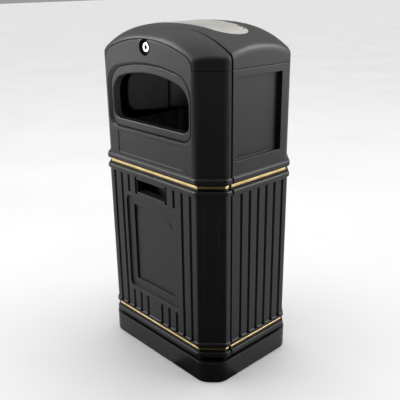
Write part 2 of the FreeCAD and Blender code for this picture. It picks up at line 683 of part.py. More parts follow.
def ash_slots():
    """Slot along the back edge of the plate, parted by tabs."""
    z0, z1 = CONTAINER_TOP, HEIGHT + DOME_MARGIN
    band = plate_outline(SLOT_INSET, z0, z1).cut(plate_outline(SLOT_INSET + SLOT_WIDTH, z0, z1))
    band = band.common(box(-SLOT_HALF_LENGTH, SLOT_HALF_LENGTH, 0, FAR, z0, z1))
    tabs = int(SLOT_HALF_LENGTH / TAB_PITCH)
    for step in range(-tabs, tabs + 1):
        middle = step * TAB_PITCH
        band = band.cut(box(middle - TAB_WIDTH / 2, middle + TAB_WIDTH / 2, 0, FAR, z0, z1))
    return band


# ---- Shells --------------------------------------------------------------------------------------
def rail_boss_centres():
    x = CONTAINER_HALF_WIDTH + CONTAINER_FLANGE + RAIL_SHEET + RAIL_BOSS_RADIUS + 2
    return [(side * x, y) for side in (-1, 1) for y in RAIL_BOSSES]


def body_bolt_centres():
    inset = SHELL_FLANGE_WIDTH - BODY_BOLT_IN
    x, y = HALF_WIDTH - inset, HALF_DEPTH - inset
    return [(-x, BODY_BOLT_Y), (x, BODY_BOLT_Y)] + [(bolt_x, y) for bolt_x in BODY_BOLT_X]


def hinge_screw_levels():
    return [level + side * LEAF_SCREW_SPACING / 2 for level in HINGE_LEVELS for side in (-1, 1)]


def rear_half(shape):
    return shape.common(box(-FAR, FAR, SEAM_REAR, FAR, 0, 2 * HEIGHT))


def front_half(shape):
    return shape.common(box(-FAR, FAR, -FAR, SEAM_DOOR, 0, 2 * HEIGHT))


def rear_shell(form):
    """Sides, back and rear half of the hood in one moulding, with its flanges and bosses."""
    block = rear_half(form)
    hollow = inner_void(0, HOOD_WALL, FLANGE_TOP)
    hollow = hollow.common(box(-FAR, FAR, SEAM_REAR + JAMB_THICKNESS, FAR, 0, 2 * HEIGHT))
    walls = both_sides(lambda: side_panel(RECESS_WALL))
    walls.append(back_panel(RECESS_WALL))
    for x, y in rail_boss_centres():
        walls.append(rod(x, y, RAIL_TOP, RAIL_BOSS_RADIUS, HEIGHT - RAIL_TOP, V(0, 0, 1)))
    hollow = hollow.cut(Part.makeCompound(walls))
    mouth = inner_void(JAMB_WIDTH, JAMB_WIDTH, FLANGE_TOP)
    foot = prism(SHELL_FLANGE_WIDTH, BODY_LEG, SHELL_BOTTOM - 1, 2 * SHELL_BOTTOM)
    foot = foot.fuse(box(-HALF_WIDTH + SHELL_FLANGE_WIDTH, HALF_WIDTH - SHELL_FLANGE_WIDTH,
                         -HALF_DEPTH, 0, SHELL_BOTTOM - 1, 2 * SHELL_BOTTOM))
    sheet_seat = prism(FLOOR_INSET - FLOOR_SEAT_GAP, BODY_LEG, SHELL_BOTTOM - 1, FLOOR_TOP)
    cuts = [hollow, mouth, foot, sheet_seat]
    cuts += both_sides(lambda: side_panel(0))
    cuts.append(back_panel(0))
    cuts += body_flutes() + corner_lines() + cap_line_cut()
    seat = plate_outline(0, CONTAINER_TOP, HEIGHT + DOME_MARGIN)
    cuts.append(seat.cut(below_dome(PLATE_SUNK + PLATE_THICKNESS + PLATE_BED)))
    opening = plate_outline(PLATE_LEDGE, CONTAINER_TOP, HEIGHT + DOME_MARGIN)
    for x, y in plate_screw_centres():
        opening = opening.cut(rod(x, y, CONTAINER_TOP, PLATE_LUG_RADIUS, HEIGHT, V(0, 0, 1)))
    cuts.append(opening)
    slot_room = plate_outline(SLOT_INSET, CONTAINER_TOP, HEIGHT + DOME_MARGIN)
    cuts.append(slot_room.common(box(-SLOT_HALF_LENGTH, SLOT_HALF_LENGTH, 0, FAR, 0, 2 * HEIGHT)))
    for x, y in body_bolt_centres():
        cuts.append(rod(x, y, SHELL_BOTTOM, BOLT_RADIUS + HOLE_CLEARANCE, 30, V(0, 0, 1)))
    return block.cut(cuts)


def front_door(form):
    """The whole front: door, corners and front half of the hood, with recesses for the fittings."""
    block = front_half(form).cut(box(-FAR, FAR, -FAR, 0, 0, SHELL_BOTTOM + DOOR_LIFT))
    hollow = inner_void(0, HOOD_WALL, SHELL_BOTTOM)
    hollow = hollow.common(box(-FAR, FAR, -FAR, SEAM_DOOR - JAMB_THICKNESS, 0, 2 * HEIGHT))
    walls = [
        mouth_block(RECESS_WALL + RECESS_FLARE_SIDE, -HALF_DEPTH - 1, SURROUND_FRONT),
        mouth_block(RECESS_WALL, -HALF_DEPTH - 1, RECESS_FLOOR_BACK),
        rod(0, -HALF_DEPTH - 1, LOCK_Z, LOCK_RECESS_RADIUS + RECESS_WALL,
            LOCK_FLOOR_BACK + HALF_DEPTH + 1, V(0, 1, 0)),
        pull_block(RECESS_WALL),
        plaque_block(BODY_WALL),
    ]
    hollow = hollow.cut(walls)
    mouth = inner_void(JAMB_WIDTH, JAMB_WIDTH, SHELL_BOTTOM)
    foot = prism(LOWER_CHANNEL_DEPTH + BAND_WALL, BODY_LEG, 0, FLANGE_TOP + DOOR_FOOT_GAP)
    cuts = [
        mouth,
        foot,
        mouth_block(0, -HALF_DEPTH - 1, SURROUND_BACK),
        recess_flare(),
        opening_block(SURROUND_THICKNESS + FIT, -HALF_DEPTH, -HALF_DEPTH + 100),
        rod(0, -HALF_DEPTH - 1, LOCK_Z, LOCK_RECESS_RADIUS, LOCK_RECESS_DEPTH + 1, V(0, 1, 0)),
        rod(0, -HALF_DEPTH, LOCK_Z, LOCK_BODY_RADIUS + HOLE_CLEARANCE, 40, V(0, 1, 0)),
        pull_block(0),
        frame_block(0),
        plaque_block(0),
        box(LABEL_RECESS[0], LABEL_RECESS[1], -HALF_DEPTH - 1, -HALF_DEPTH + LABEL_DEPTH,
            LABEL_RECESS[2], LABEL_RECESS[3]),
    ]
    cuts += body_flutes() + short_flutes() + corner_lines() + cap_line_cut()
    return block.cut(hollow).cut(cuts)


def strip(depth, middle, height):
    """Closed metal band that lies in a channel, before it is parted at the seam."""
    z0, z1 = middle - height / 2, middle + height / 2
    ring = rounded_prism(depth - STRIP_THICKNESS, BODY_LEG, z0, z1)
    ring = ring.makeFillet(STRIP_EDGE, level_edges(ring, z0) + level_edges(ring, z1))
    ring = ring.cut(rounded_prism(depth, BODY_LEG, z0 - 1, z1 + 1))
    return ring.cut(box(-FAR, FAR, SEAM_DOOR - STRIP_END_GAP, SEAM_REAR + STRIP_END_GAP, 0, HEIGHT))


# ---- Plinth, floor and fixings -------------------------------------------------------------------
def plinth():
    foot = prism(0, PLINTH_FOOT_LEG, 0, PLINTH_TOP)
    foot = foot.makeFillet(PLINTH_CORNER_RADIUS, upright_edges(foot))
    foot = foot.makeFillet(PLINTH_FOOT_RADIUS, level_edges(foot, 0))
    neck = prism(NECK_INSET, PLINTH_LEG, PLINTH_TOP - 1, SHELL_BOTTOM)
    well = prism(PLINTH_WELL_INSET, PLINTH_LEG, PLINTH_FLOOR, SHELL_BOTTOM + 1)
    cuts = [well]
    for sx in (-1, 1):
        for sy in (-1, 1):
            centre = (sx * GROUND_HOLES[0], sy * GROUND_HOLES[1])
            cuts.append(rod(*centre, -1, GROUND_HOLE_RADIUS, PLINTH_FLOOR + 2, V(0, 0, 1)))
    for x, y in body_bolt_centres():
        hole = rod(x, y, SHELL_BOTTOM, BOLT_RADIUS + HOLE_CLEARANCE, BOLT_HOLE_IN_PLINTH, V(0, 0, -1))
        cuts.append(hole)
    return foot.fuse(neck).cut(cuts)


def ballast_slab():
    inset = PLINTH_WELL_INSET + BALLAST_GAP
    slab = prism(inset, PLINTH_LEG, PLINTH_FLOOR, PLINTH_FLOOR + BALLAST_HEIGHT)
    holes = []
    for sx in (-1, 1):
        for sy in (-1, 1):
            centre = (sx * GROUND_HOLES[0], sy * GROUND_HOLES[1])
            holes.append(rod(*centre, 0, BALLAST_HOLE_RADIUS, SHELL_BOTTOM, V(0, 0, 1)))
    return slab.cut(holes)


def floor_plate():
    sheet = prism(FLOOR_INSET, BODY_LEG, SHELL_BOTTOM, FLOOR_TOP)
    holes = []
    for x, y in body_bolt_centres():
        holes.append(rod(x, y, 0, BOLT_RADIUS + HOLE_CLEARANCE, 2 * SHELL_BOTTOM, V(0, 0, 1)))
    return sheet.cut(holes)


def body_washers():
    made = []
    for x, y in body_bolt_centres():
        ring = rod(x, y, FLANGE_TOP, WASHER_RADIUS, WASHER_THICKNESS, V(0, 0, 1))
        hole = rod(x, y, FLANGE_TOP, BOLT_RADIUS + HOLE_CLEARANCE, WASHER_THICKNESS, V(0, 0, 1))
        made.append(ring.cut(hole))
    return made


def body_bolts():
    z = FLANGE_TOP + WASHER_THICKNESS
    length = z - SHELL_BOTTOM + BOLT_LENGTH_IN_PLINTH
    return [hex_bolt(x, y, z, length) for x, y in body_bolt_centres()]


def liner_blocks():
    """Four angle blocks that keep the liner's foot in place."""
    length, thick, tall = BLOCK_SIZE
    x, y = LINER_HALF_WIDTH - LINER_CORNER - length, LINER_HALF_DEPTH + BLOCK_GAP
    made = []
    for sx in (-1, 1):
        for sy in (-1, 1):
            x0, x1 = sorted((sx * x, sx * (x + length)))
            y0, y1 = sorted((sy * y, sy * (y + thick)))
            made.append(box(x0, x1, y0, y1, FLOOR_TOP, FLOOR_TOP + tall))
    return made


# ---- Hinges --------------------------------------------------------------------------------------
def knuckle_spans(level):
    """The hinge barrel in three parts: frame, door, frame."""
    low, high = level - HINGE_LENGTH / 2, level + HINGE_LENGTH / 2
    third = HINGE_LENGTH / 3
    return (low, low + third), (low + third, high - third), (high - third, high)


def hinge_leaf(level, own, others, y0, y1):
    """A flat leaf in the seam with rolled knuckles at its outer edge."""
    leaf = box(HINGE_X, LEAF_INNER_X, y0, y1, level - HINGE_LENGTH / 2, level + HINGE_LENGTH / 2)
    clear = KNUCKLE_RADIUS + KNUCKLE_GAP
    for z0, z1 in others:
        leaf = leaf.cut(rod(HINGE_X, SEAM_Y, z0 - KNUCKLE_GAP / 2, clear, z1 - z0 + KNUCKLE_GAP, V(0, 0, 1)))
    for z0, z1 in own:
        trim = KNUCKLE_GAP / 2
        leaf = leaf.fuse(rod(HINGE_X, SEAM_Y, z0 + trim, KNUCKLE_RADIUS, z1 - z0 - 2 * trim, V(0, 0, 1)))
    bore = rod(HINGE_X, SEAM_Y, level - HINGE_LENGTH, HINGE_PIN_RADIUS + RUNNING_CLEARANCE,
               2 * HINGE_LENGTH, V(0, 0, 1))
    return leaf.cut(bore)


def leaf_screw(z, side, grow):
    """Countersunk screw through a leaf. side is 1 towards the back and -1 towards the front."""
    face = SEAM_Y + side * (SEAM_GAP / 2 - LEAF_THICKNESS)
    return countersunk_screw(LEAF_SCREW_X, face, z, V(0, side, 0), SCREW_HEAD_RADIUS + grow,
                             LEAF_THICKNESS, SCREW_RADIUS + grow, JAMB_THICKNESS)


def hinge_leaves(side):
    y0, y1 = sorted((SEAM_Y + side * SEAM_GAP / 2, SEAM_Y + side * (SEAM_GAP / 2 - LEAF_THICKNESS)))
    made = []
    for level in HINGE_LEVELS:
        low, mid, high = knuckle_spans(level)
        own, others = ((low, high), (mid,)) if side > 0 else ((mid,), (low, high))
        leaf = hinge_leaf(level, own, others, y0, y1)
        for shift in (-1, 1):
            leaf = leaf.cut(leaf_screw(level + shift * LEAF_SCREW_SPACING / 2, side, HOLE_CLEARANCE))
        made.append(leaf)
    return made


def hinge_screws(side):
    return [leaf_screw(z, side, 0) for z in hinge_screw_levels()]


def hinge_pins():
    made = []
    for level in HINGE_LEVELS:
        low = level - HINGE_LENGTH / 2
        pin = rod(HINGE_X, SEAM_Y, low, HINGE_PIN_RADIUS, HINGE_LENGTH, V(0, 0, 1))
        cap = rod(HINGE_X, SEAM_Y, low + HINGE_LENGTH, KNUCKLE_RADIUS, HINGE_PIN_CAP, V(0, 0, 1))
        made.append(pin.fuse(cap))
    return made


def door_buffers():
    """Rubber pads on the seam flange that the closed door rests against."""
    x = HALF_WIDTH - JAMB_WIDTH / 2
    made = []
    for z in HINGE_LEVELS:
        made.append(rod(x, SEAM_REAR, z, BUFFER_RADIUS, SEAM_GAP - STOP_GAP, V(0, -1, 0)))
    return made


# ---- Aperture, plaque and lock -------------------------------------------------------------------
def aperture_surround():
    flange = mouth_block(-FIT, SURROUND_FRONT, SURROUND_BACK)
    throat = opening_block(SURROUND_THICKNESS, SURROUND_BACK - 1, SURROUND_FRONT + THROAT_LENGTH)
    hole = opening_block(0, -HALF_DEPTH, 0)
    ring = flange.fuse(throat).cut(hole)
    lip = []
    for edge in ring.Edges:
        near = all(abs(v.Y - SURROUND_FRONT) < 0.01 for v in edge.Vertexes)
        middle = edge.CenterOfMass
        inside = abs(middle.x) < RECESS_HALF_WIDTH - MOUTH_MARGIN_SIDE + 1
        inside = inside and RECESS_BOTTOM + MOUTH_MARGIN_BOTTOM - 1 < middle.z
        inside = inside and middle.z < RECESS_CROWN - MOUTH_MARGIN_TOP + 1
        if near and inside:
            lip.append(edge)
    return ring.makeFillet(SURROUND_THICKNESS * SURROUND_LIP, lip)


def surround_screw_centres():
    low, high = RECESS_BOTTOM + SURROUND_SCREW_UP, RECESS_CROWN - SURROUND_SCREW_DOWN
    return [(x, low) for x in SURROUND_SCREWS_LOW] + [(x, high) for x in SURROUND_SCREWS_HIGH]


def surround_screws():
    """Pan-head screws from behind, through the recess floor into the surround."""
    length = RECESS_WALL + SURROUND_SCREW_GRIP
    made = []
    for x, z in surround_screw_centres():
        head = rod(x, RECESS_FLOOR_BACK, z, SCREW_HEAD_RADIUS, SCREW_HEAD_HEIGHT, V(0, 1, 0))
        made.append(head.fuse(rod(x, RECESS_FLOOR_BACK, z, SURROUND_SCREW_RADIUS, length, V(0, -1, 0))))
    return made


def screw_holes_behind_surround():
    radius = SURROUND_SCREW_RADIUS + HOLE_CLEARANCE
    depth = RECESS_WALL + SURROUND_SCREW_GRIP + HOLE_CLEARANCE
    return [rod(x, RECESS_FLOOR_BACK, z, radius, depth, V(0, -1, 0)) for x, z in surround_screw_centres()]


def notice_plate():
    """Blank plate that lies in the plaque recess."""
    floor = -HALF_DEPTH + FRAME_DEPTH + PLAQUE_DEPTH
    plate = box(-PLAQUE_HALF_WIDTH + FIT, PLAQUE_HALF_WIDTH - FIT, floor - NOTICE_THICKNESS, floor,
                PLAQUE_BOTTOM + FIT, NOTICE_TOP)
    top = [
        e for e in plate.Edges
        if abs(e.Vertexes[0].Y - e.Vertexes[-1].Y) > 0.01 and e.Vertexes[0].Z > NOTICE_TOP - 1
    ]
    return plate.makeFillet(NOTICE_RADIUS, top)


def lock_housing():
    face = -HALF_DEPTH + LOCK_HEAD_SUNK
    head = rod(0, face, LOCK_Z, LOCK_HEAD_RADIUS, LOCK_FLOOR - face, V(0, 1, 0))
    rim = [e for e in head.Edges if all(abs(v.Y - face) < 0.01 for v in e.Vertexes)]
    head = head.makeFillet(LOCK_HEAD_EDGE, rim[:1])
    body = rod(0, LOCK_FLOOR, LOCK_Z, LOCK_BODY_RADIUS, LOCK_BODY_REACH, V(0, 1, 0))
    bore = rod(0, face - 1, LOCK_Z, BARREL_RADIUS + RUNNING_CLEARANCE, FAR, V(0, 1, 0))
    return head.fuse(body).cut(bore)


def lock_nut():
    points = []
    for step in range(6):
        angle = math.pi / 3 * step
        x, z = LOCK_NUT_CORNER * math.cos(angle), LOCK_Z + LOCK_NUT_CORNER * math.sin(angle)
        points.append(V(x, LOCK_FLOOR_BACK, z))
    nut = polygon(points).extrude(V(0, LOCK_NUT_HEIGHT, 0))
    return nut.cut(rod(0, -FAR, LOCK_Z, LOCK_BODY_RADIUS + HOLE_CLEARANCE, 2 * FAR, V(0, 1, 0)))


def lock_barrel():
    face = -HALF_DEPTH + LOCK_HEAD_SUNK + BARREL_SUNK
    barrel = rod(0, face, LOCK_Z, BARREL_RADIUS, CAM_FRONT - face, V(0, 1, 0))
    square = BARREL_TAIL_HALF
    tail = box(-square, square, CAM_FRONT - 1, BARREL_END, LOCK_Z - square, LOCK_Z + square)
    half_width, half_height, depth = KEY_SLOT
    slot = box(-half_width, half_width, face - 1, face + depth, LOCK_Z - half_height, LOCK_Z + half_height)
    thread = rod(0, BARREL_END + 1, LOCK_Z, CAM_SCREW_RADIUS + HOLE_CLEARANCE,
                 CAM_SCREW_LENGTH + 2, V(0, -1, 0))
    return barrel.fuse(tail).cut([slot, thread])


def lock_cam():
    """Flat arm on the barrel's square tail. At rest it points right, clear of the strike."""
    y0, y1 = CAM_FRONT, CAM_FRONT + CAM_THICKNESS
    boss = rod(0, y0, LOCK_Z, CAM_HALF_WIDTH + 2, CAM_THICKNESS, V(0, 1, 0))
    arm = box(0, CAM_REACH, y0, y1, LOCK_Z - CAM_HALF_WIDTH, LOCK_Z + CAM_HALF_WIDTH)
    square = BARREL_TAIL_HALF + HOLE_CLEARANCE
    return boss.fuse(arm).cut(box(-square, square, y0 - 1, y1 + 1, LOCK_Z - square, LOCK_Z + square))


def cam_screw():
    head = rod(0, BARREL_END, LOCK_Z, CAM_SCREW_HEAD_RADIUS, CAM_SCREW_HEAD_HEIGHT, V(0, 1, 0))
    return head.fuse(rod(0, BARREL_END, LOCK_Z, CAM_SCREW_RADIUS, CAM_SCREW_LENGTH, V(0, -1, 0)))


def lock_strike():
    """Bracket on the rear shell's flange that reaches forward, with a lip that the cam turns behind."""
    t, w = STRIKE_THICKNESS, STRIKE_HALF_WIDTH
    back = SEAM_REAR + JAMB_THICKNESS
    lip_front = CAM_FRONT - STRIKE_LIP_GAP - t
    strap_z = LOCK_Z + STRIKE_STRAP_RISE
    strap = box(-w, w, lip_front, back + t, strap_z, strap_z + t)
    lip = box(-w, w, lip_front, lip_front + t, LOCK_Z + STRIKE_LIP_RISE, strap_z + t)
    top = dome_height(0, back) - HOOD_WALL - STRIKE_HEADROOM
    tab = box(-w, w, back, back + t, strap_z, top)
    return strap.fuse([lip, tab]).cut(strike_screw_holes())


def strike_screw_rods(radius):
    """Shanks of the strike's two screws, or with a larger radius their holes."""
    z = LOCK_Z + STRIKE_STRAP_RISE + STRIKE_SCREW_RISE
    length = JAMB_THICKNESS - STRIKE_SCREW_START + STRIKE_THICKNESS
    return [rod(x, SEAM_REAR + STRIKE_SCREW_START, z, radius, length, V(0, 1, 0)) for x in STRIKE_SCREW_X]


def strike_screw_holes():
    return strike_screw_rods(SCREW_RADIUS + HOLE_CLEARANCE)


def strike_screws():
    y = SEAM_REAR + JAMB_THICKNESS + STRIKE_THICKNESS
    z = LOCK_Z + STRIKE_STRAP_RISE + STRIKE_SCREW_RISE
    heads = [rod(x, y, z, SCREW_HEAD_RADIUS, SCREW_HEAD_HEIGHT, V(0, 1, 0)) for x in STRIKE_SCREW_X]
    return [shank.fuse(head) for shank, head in zip(strike_screw_rods(SCREW_RADIUS), heads)]


# ---- Ashtray -------------------------------------------------------------------------------------
def plate_screw_centres():
    x, y = PLATE_SCREW
    return [(-x, y), (x, y)]


def stubber_plate():
    """Steel plate that follows the dome, sunk in its seat, with ash slots along its back edge."""
    block = plate_outline(FIT, CONTAINER_TOP, HEIGHT + DOME_MARGIN)
    plate = block.common(below_dome(PLATE_SUNK)).cut(below_dome(PLATE_SUNK + PLATE_THICKNESS))
    cuts = [ash_slots()]
    for x, y in plate_screw_centres():
        cuts.append(rod(x, y, CONTAINER_TOP, PLATE_SCREW_RADIUS + HOLE_CLEARANCE, HEIGHT, V(0, 0, 1)))
    return plate.cut(cuts)


def plate_screws():
    """Round-headed screws through the plate into the lugs under it."""
    made = []
    for x, y in plate_screw_centres():
        seat = dome_height(x, y) - PLATE_SUNK + PLATE_SCREW_HEAD_RISE
        shank = rod(x, y, seat, PLATE_SCREW_RADIUS, PLATE_SCREW_LENGTH, V(0, 0, -1))
        made.append(shank.fuse(rod(x, y, seat, PLATE_SCREW_HEAD_RADIUS, PLATE_SCREW_HEAD_HEIGHT, V(0, 0, 1))))
    return made


def ash_container():
    """Open steel box that hangs by its side flanges and slides forward."""
    w, t = CONTAINER_HALF_WIDTH, CONTAINER_SHEET
    tub = box(-w, w, CONTAINER_FRONT, CONTAINER_BACK, CONTAINER_BOTTOM, CONTAINER_TOP)
    tub = tub.makeFillet(CONTAINER_RADIUS, upright_edges(tub))
    inside = box(-w + t, w - t, CONTAINER_FRONT + t, CONTAINER_BACK - t,
                 CONTAINER_BOTTOM + t, CONTAINER_TOP + 1)
    inside = inside.makeFillet(CONTAINER_RADIUS - t, upright_edges(inside))
    flange = box(-w - CONTAINER_FLANGE, w + CONTAINER_FLANGE, CONTAINER_FRONT + CONTAINER_FLANGE_SHORT,
                 CONTAINER_BACK - CONTAINER_FLANGE_SHORT, CONTAINER_TOP - t, CONTAINER_TOP)
    return tub.fuse(flange).cut(inside)


def container_rails():
    """Folded rails screwed under the dome, with a lip that carries the container's flange."""
    t = RAIL_SHEET
    web_x = CONTAINER_HALF_WIDTH + CONTAINER_FLANGE + RAIL_SIDE_GAP
    lip_top = CONTAINER_TOP - CONTAINER_SHEET - STOP_GAP
    screw_x = rail_boss_centres()[-1][0]

    def one():
        web = box(web_x, web_x + t, RAIL_FRONT, RAIL_BACK, lip_top - t, RAIL_TOP)
        lip = box(web_x - CONTAINER_FLANGE + 2, web_x + t, RAIL_FRONT, RAIL_BACK, lip_top - t, lip_top)
        top = box(web_x, screw_x + RAIL_BOSS_RADIUS, RAIL_FRONT, RAIL_BACK, RAIL_TOP - t, RAIL_TOP)
        rail = web.fuse([lip, top])
        for y in RAIL_BOSSES:
            rail = rail.cut(rod(screw_x, y, 0, SCREW_RADIUS + HOLE_CLEARANCE, HEIGHT, V(0, 0, 1)))
        return rail

    return both_sides(one)


def rail_screws():
    made = []
    for x, y in rail_boss_centres():
        low = RAIL_TOP - RAIL_SHEET
        shank = rod(x, y, low, SCREW_RADIUS, RAIL_SCREW_LENGTH, V(0, 0, 1))
        made.append(shank.fuse(rod(x, y, low, SCREW_HEAD_RADIUS, SCREW_HEAD_HEIGHT, V(0, 0, -1))))
    return made


def rail_screw_holes():
    radius = SCREW_RADIUS + HOLE_CLEARANCE
    return [rod(x, y, RAIL_TOP - 1, radius, RAIL_SCREW_LENGTH, V(0, 0, 1)) for x, y in rail_boss_centres()]


def plate_screw_holes():
    holes = []
    for x, y in plate_screw_centres():
        low = dome_height(x, y) - PLATE_SUNK - PLATE_SCREW_HOLE
        holes.append(rod(x, y, low, PLATE_SCREW_RADIUS + HOLE_CLEARANCE, 2 * PLATE_SCREW_HOLE, V(0, 0, 1)))
    return holes


# ---- Liner ---------------------------------------------------------------------------------------
def liner():
    """Open steel tub with rounded corners and a folded rim."""
    x, y, t = LINER_HALF_WIDTH, LINER_HALF_DEPTH, LINER_SHEET
    tub = box(-x, x, -y, y, FLOOR_TOP, LINER_TOP)
    tub = tub.makeFillet(LINER_CORNER, upright_edges(tub))
    inside = box(-x + t, x - t, -y + t, y - t, FLOOR_TOP + t, LINER_TOP + 1)
    inside = inside.makeFillet(LINER_CORNER - t, upright_edges(inside))
    rx, ry = x + RIM_WIDTH, y + RIM_WIDTH
    rim = box(-rx, rx, -ry, ry, LINER_TOP - RIM_HEIGHT, LINER_TOP)
    rim = rim.makeFillet(LINER_CORNER + RIM_WIDTH, upright_edges(rim))
    rim = rim.makeFillet(RIM_RADIUS, level_edges(rim, LINER_TOP) + level_edges(rim, LINER_TOP - RIM_HEIGHT))
    return tub.fuse(rim).cut(inside)


def handle_frame():
    """Pivot of the right-hand handle and its grip, as x and z."""
    pivot_x = LINER_HALF_WIDTH - LINER_SHEET - HANDLE_PIVOT_IN
    return pivot_x, LINER_TOP - HANDLE_PIVOT_DOWN


def liner_handle():
    """Wire handle on the right: two arms with outturned ends and a grip, folded inward."""
    pivot_x, z = handle_frame()
    half, bend = HANDLE_HALF_GRIP, HANDLE_BEND
    end = half + HANDLE_WIRE + EAR_GAP + EAR_SHEET + ARM_END
    grip_x = pivot_x - HANDLE_REACH
    corners = [
        V(pivot_x, -end, z), V(pivot_x, -half, z), V(grip_x, -half, z),
        V(grip_x, half, z), V(pivot_x, half, z), V(pivot_x, end, z),
    ]
    bends = [HANDLE_WIRE + 0.5, bend, bend, HANDLE_WIRE + 0.5]
    edges, start = [], corners[0]
    for i in range(1, 5):
        before, at, after = corners[i - 1], corners[i], corners[i + 1]
        into = (at - before).normalize()
        away = (after - at).normalize()
        r = bends[i - 1]
        a, b = at - into * r, at + away * r
        middle = at + (away - into) * r * (1 - math.sqrt(0.5))
        edges.append(Part.makeLine(start, a))
        edges.append(Part.Arc(a, middle, b).toShape())
        start = b
    edges.append(Part.makeLine(start, corners[-1]))
    circle = Part.makeCircle(HANDLE_WIRE, corners[0], V(0, 1, 0))
    return Part.Wire(edges).makePipeShell([Part.Wire([circle])], True, False)


def handle_bracket():
    """Riveted bracket with two ears and a stop under each arm."""
    pivot_x, z = handle_frame()
    wall = LINER_HALF_WIDTH - LINER_SHEET
    ear_y = HANDLE_HALF_GRIP + HANDLE_WIRE + EAR_GAP
    low, high = z - BRACKET_DROP, z + BRACKET_RISE
    reach = ear_y + EAR_SHEET + BRACKET_WING
    back = box(wall - EAR_SHEET, wall, -reach, reach, low, high)
    parts = []
    for side in (-1, 1):
        y0, y1 = sorted((side * ear_y, side * (ear_y + EAR_SHEET)))
        parts.append(box(pivot_x - EAR_WIDTH, wall, y0, y1, low, high))
        y0, y1 = sorted((side * (HANDLE_HALF_GRIP - 2), side * (ear_y + 1)))
        stop_top = z - HANDLE_WIRE - STOP_GAP
        stop = box(pivot_x - EAR_WIDTH, pivot_x - STOP_REACH, y0, y1, stop_top - EAR_SHEET, stop_top)
        parts.append(stop)
    bore = rod(pivot_x, -FAR, z, HANDLE_WIRE + RUNNING_CLEARANCE, 2 * FAR, V(0, 1, 0))
    return back.fuse(parts).cut([bore] + rivet_holes())


def rivet_positions():
    y = HANDLE_HALF_GRIP + HANDLE_WIRE + EAR_GAP + EAR_SHEET + BRACKET_WING / 2
    return (-y, y)


def bracket_rivets():
    """Rivets through the liner's end wall and the bracket."""
    z = LINER_TOP - HANDLE_PIVOT_DOWN
    inner = LINER_HALF_WIDTH - LINER_SHEET - EAR_SHEET

    def one(y):
        shank = rod(inner, y, z, RIVET_RADIUS, LINER_SHEET + EAR_SHEET, V(1, 0, 0))
        inside = rod(inner, y, z, RIVET_HEAD_RADIUS, RIVET_HEAD_HEIGHT, V(-1, 0, 0))
        outside = rod(LINER_HALF_WIDTH, y, z, RIVET_HEAD_RADIUS, RIVET_HEAD_HEIGHT, V(1, 0, 0))
        return shank.fuse([inside, outside])

    right = [one(y) for y in rivet_positions()]
    return right + [r.mirror(V(0, 0, 0), V(1, 0, 0)) for r in right]


def rivet_holes():
    z = LINER_TOP - HANDLE_PIVOT_DOWN
    radius = RIVET_RADIUS + HOLE_CLEARANCE
    return [rod(-FAR, y, z, radius, 2 * FAR, V(1, 0, 0)) for y in rivet_positions()]


# ---- Build ---------------------------------------------------------------------------------------
def solids_of(item):
    shapes = item if isinstance(item, list) else [item]
    return [solid for shape in shapes for solid in shape.Solids]


def build():
    form = outer_form()
    upper_strip = strip(UPPER_CHANNEL_DEPTH, UPPER_STRIP_MIDDLE, UPPER_STRIP_HEIGHT)
    lower_strip = strip(LOWER_CHANNEL_DEPTH, LOWER_STRIP_MIDDLE, LOWER_STRIP_HEIGHT)
    rear = rear_shell(form)
    rear = rear.cut([leaf_screw(z, 1, HOLE_CLEARANCE) for z in hinge_screw_levels()])
    rear = rear.cut(strike_screw_holes() + rail_screw_holes() + plate_screw_holes())
    door = front_door(form)
    door = door.cut([leaf_screw(z, -1, HOLE_CLEARANCE) for z in hinge_screw_levels()])
    door = door.cut(screw_holes_behind_surround())
    handle = liner_handle()
    bracket = handle_bracket()
    return {
        "plinth": plinth(),
        "ballast_slab": ballast_slab(),
        "floor_plate": floor_plate(),
        "body_washers": body_washers(),
        "body_bolts": body_bolts(),
        "liner_blocks": liner_blocks(),
        "rear_shell": rear,
        "upper_strip_rear": rear_half(upper_strip),
        "lower_strip_rear": rear_half(lower_strip),
        "hinge_frame_leaves": hinge_leaves(1),
        "hinge_door_leaves": hinge_leaves(-1),
        "hinge_pins": hinge_pins(),
        "hinge_frame_screws": hinge_screws(1),
        "hinge_door_screws": hinge_screws(-1),
        "door_buffers": door_buffers(),
        "front_door": door,
        "upper_strip_door": front_half(upper_strip),
        "lower_strip_door": front_half(lower_strip),
        "aperture_surround": aperture_surround().cut(screw_holes_behind_surround()),
        "surround_screws": surround_screws(),
        "notice_plate": notice_plate(),
        "lock_housing": lock_housing(),
        "lock_nut": lock_nut(),
        "lock_barrel": lock_barrel(),
        "lock_cam": lock_cam(),
        "cam_screw": cam_screw(),
        "lock_strike": lock_strike(),
        "strike_screws": strike_screws(),
        "stubber_plate": stubber_plate(),
        "plate_screws": plate_screws(),
        "ash_container": ash_container(),
        "container_rails": container_rails(),
        "rail_screws": rail_screws(),
        "liner": liner().cut(rivet_holes()),
        "liner_handle_right": handle,
        "liner_handle_left": handle.mirror(V(0, 0, 0), V(1, 0, 0)),
        "handle_brackets": [bracket, bracket.mirror(V(0, 0, 0), V(1, 0, 0))],
        "bracket_rivets": bracket_rivets(),
    }


os.makedirs("parts", exist_ok=True)
for name, item in build().items():
    solids = solids_of(item)
    shape = solids[0] if len(solids) == 1 else Part.makeCompound(solids)
    shape.exportStep(f"parts/{name}.step")
    print(name, len(solids), all(s.isValid() for s in solids), round(sum(s.Volume for s in solids) / 1000, 1))
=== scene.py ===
# Looks of a hooded litter bin with an ashtray plate: finishes, studio and camera, in the CAD model's frame.
# Lengths are in metres unless a name ends in _mm or _MM, light powers are in watts.
import math

import bpy
import numpy as np
from mathutils import Matrix, Vector

